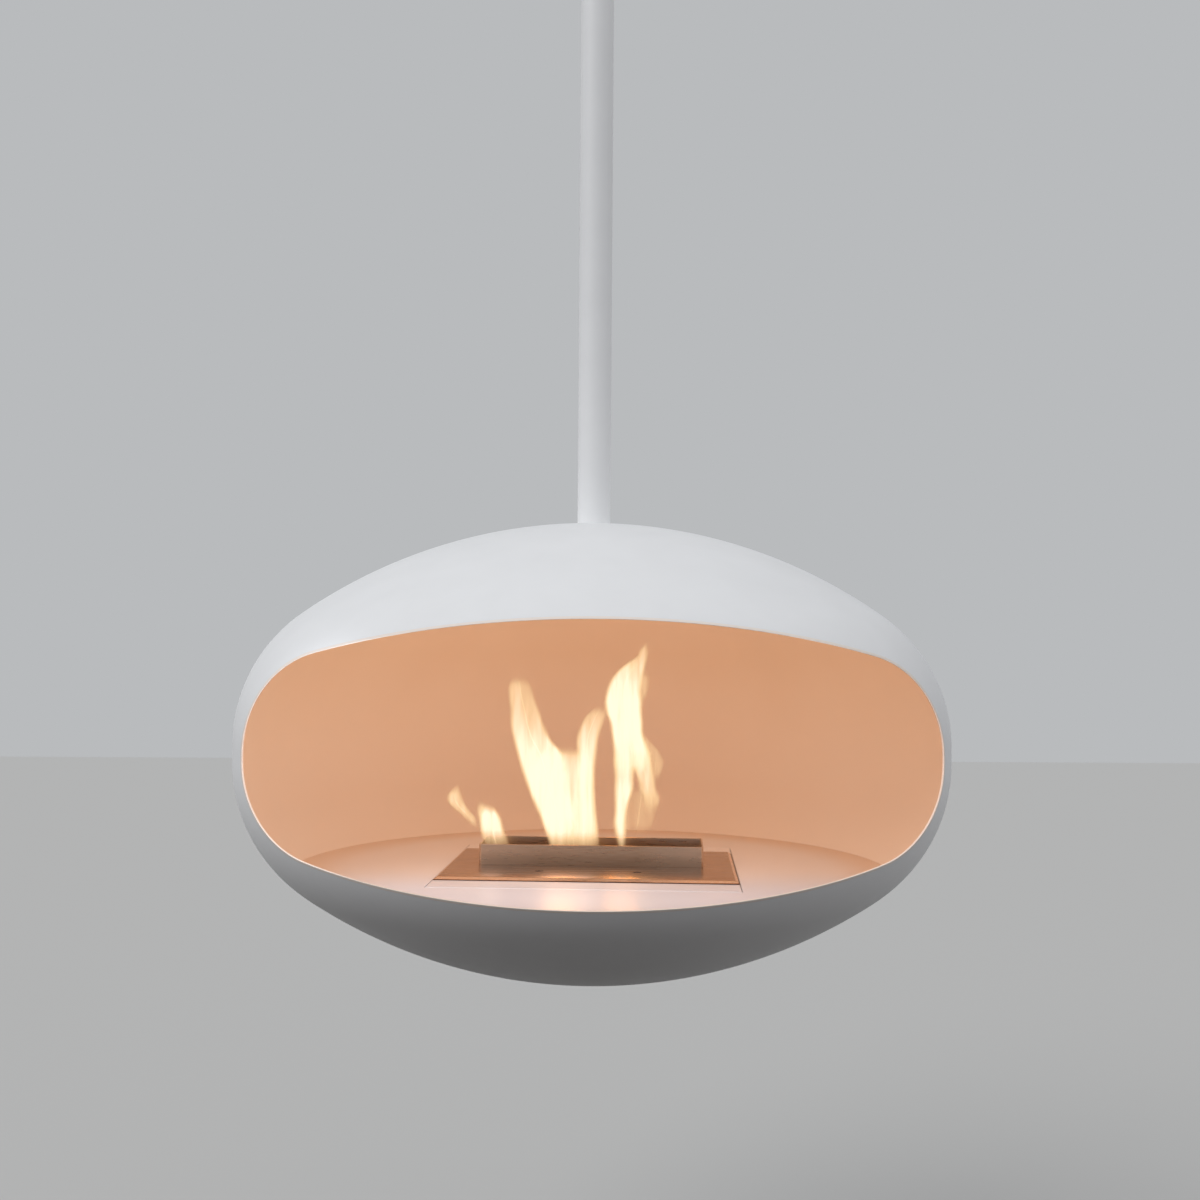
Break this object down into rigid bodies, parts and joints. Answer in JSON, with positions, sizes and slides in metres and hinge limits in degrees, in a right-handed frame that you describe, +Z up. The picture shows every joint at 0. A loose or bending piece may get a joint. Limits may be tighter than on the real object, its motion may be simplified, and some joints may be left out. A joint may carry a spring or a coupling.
{
  "type": "hanging bioethanol fireplace",
  "caption": "Lens-shaped bioethanol fireplace pod hung from the ceiling on a round swivelling pole, with a lift-out steel burner and a sliding damper.",
  "frame": {"origin": "centre of the ceiling plate's top face, where it meets the ceiling", "axes": "+Z up along the pole's axis, -Y towards the pod's opening, +X to the right seen from in front"},
  "size_m": [0.9, 0.8556, 1.77],
  "materials": {
    "white_paint": "satin white powder coat",
    "inner_paint": "matt warm powder coat",
    "stainless_steel": "brushed stainless steel",
    "zinc_steel": "zinc plated steel",
    "bearing_steel": "ground bearing steel",
    "brass": "turned brass",
    "ceramic_wool": "pressed ceramic fibre"
  },
  "bodies": {
    "ceiling": {"ceiling_plate": "zinc_steel", "swivel_housing": "zinc_steel", "housing_screws": "zinc_steel", "guide_bush": "brass", "bearing_lower_race": "bearing_steel", "bearing_balls": "bearing_steel", "bearing_cage": "brass"},
    "pod": {"bearing_upper_race": "bearing_steel", "swivel_shaft": "zinc_steel", "swivel_washer": "zinc_steel", "swivel_nut": "zinc_steel", "locking_pin": "zinc_steel", "pole": "white_paint", "pole_foot": "zinc_steel", "upper_shell": "white_paint", "lower_shell": "white_paint", "liner_upper": "inner_paint", "liner_lower": "inner_paint", "opening_rim": "white_paint", "crown_clamp": "zinc_steel", "crown_washer": "zinc_steel", "crown_nut": "zinc_steel", "crown_cap": "inner_paint", "floor_plate": "inner_paint", "floor_brackets": "zinc_steel", "floor_nuts": "zinc_steel", "seat_frame": "zinc_steel", "seat_panel": "inner_paint"},
    "cover": {"ceiling_cover": "white_paint", "cover_collar": "white_paint", "collar_screw": "zinc_steel"},
    "burner": {"burner_tank": "stainless_steel", "burner_tray": "stainless_steel", "burner_collar": "stainless_steel", "wool_block": "ceramic_wool", "mesh_cover": "stainless_steel", "damper_rails": "stainless_steel"},
    "damper": {"damper_plate": "stainless_steel"}
  },
  "joints": [
    {"name": "pole_swivel", "type": "hinge", "parent": "ceiling", "child": "pod", "pos_m": [0, 0, -0.05], "axis": [0, 0, 1], "continuous": true},
    {"name": "cover_slide", "type": "slide", "parent": "pod", "child": "cover", "axis": [0, 0, -1], "range_m": [0, 0.15]},
    {"name": "burner_lift", "type": "slide", "parent": "pod", "child": "burner", "axis": [0, 0, 1], "range_m": [0, 0.095]},
    {"name": "damper_slide", "type": "slide", "parent": "burner", "child": "damper", "axis": [0.0698, 0.9976, 0], "range_m": [0, 0.074]}
  ]
}
